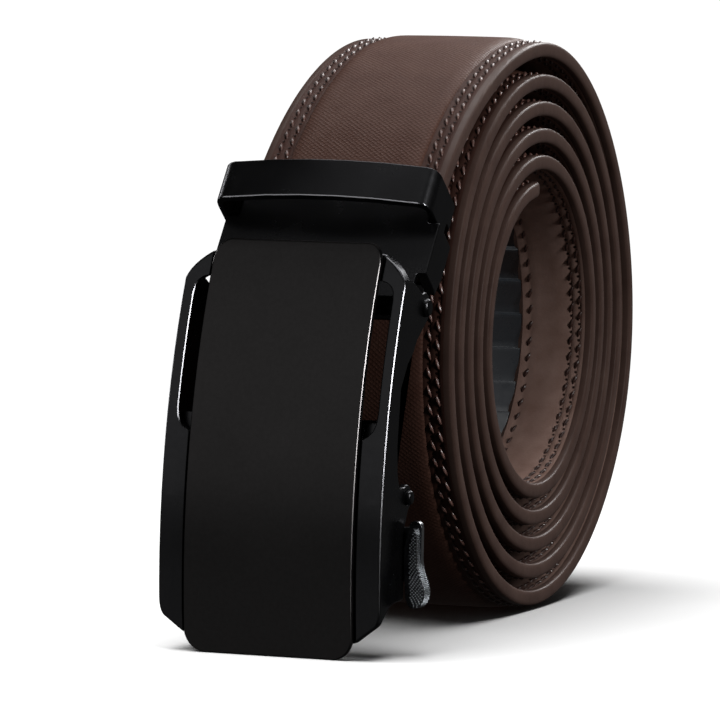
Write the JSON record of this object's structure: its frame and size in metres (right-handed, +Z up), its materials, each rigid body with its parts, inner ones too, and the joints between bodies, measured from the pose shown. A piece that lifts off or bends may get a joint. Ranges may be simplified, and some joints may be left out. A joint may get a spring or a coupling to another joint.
{
  "type": "coiled ratchet belt with buckle",
  "caption": "Padded leather ratchet belt wound in a coil on its edge, with a bowed black automatic buckle hinged to its clamp in front.",
  "frame": {"origin": "bottom centre of the whole belt, on the surface it stands on", "axes": "+Z up; +X across the strap, along the coil's axis; the buckle faces -Y and the coil lies behind it at +Y"},
  "size_m": [0.0452, 0.1434, 0.1041],
  "materials": {
    "leather": "dark brown embossed leather, satin, with painted edges",
    "track_nylon": "black moulded nylon, slight gloss on the crests",
    "black_metal": "satin black plated zinc alloy",
    "panel_black": "smooth satin black",
    "steel": "dark nickel-plated steel, knurled on the thumb tab"
  },
  "bodies": {
    "strap_body": {"strap": "leather", "ratchet_track": "track_nylon", "clamp": "black_metal", "clamp_flap": "steel", "keeper_loop": "black_metal", "hinge_pin": "black_metal"},
    "buckle": {"buckle_frame": "black_metal", "front_panel": "panel_black", "lever_pin": "black_metal"},
    "lever": {"release_lever": "steel"}
  },
  "joints": [
    {"name": "buckle_hinge", "type": "hinge", "parent": "strap_body", "child": "buckle", "pos_m": [-0.00159, -0.05113, 0.05872], "axis": [1, 0, 0], "range_deg": [-45, 36]},
    {"name": "lever_hinge", "type": "hinge", "parent": "buckle", "child": "lever", "pos_m": [-0.00159, -0.05839, 0.02685], "axis": [1, 0, 0], "range_deg": [0, 18], "stiffness_Nm_per_rad": 0.1, "springref_deg": -8.59}
  ]
}
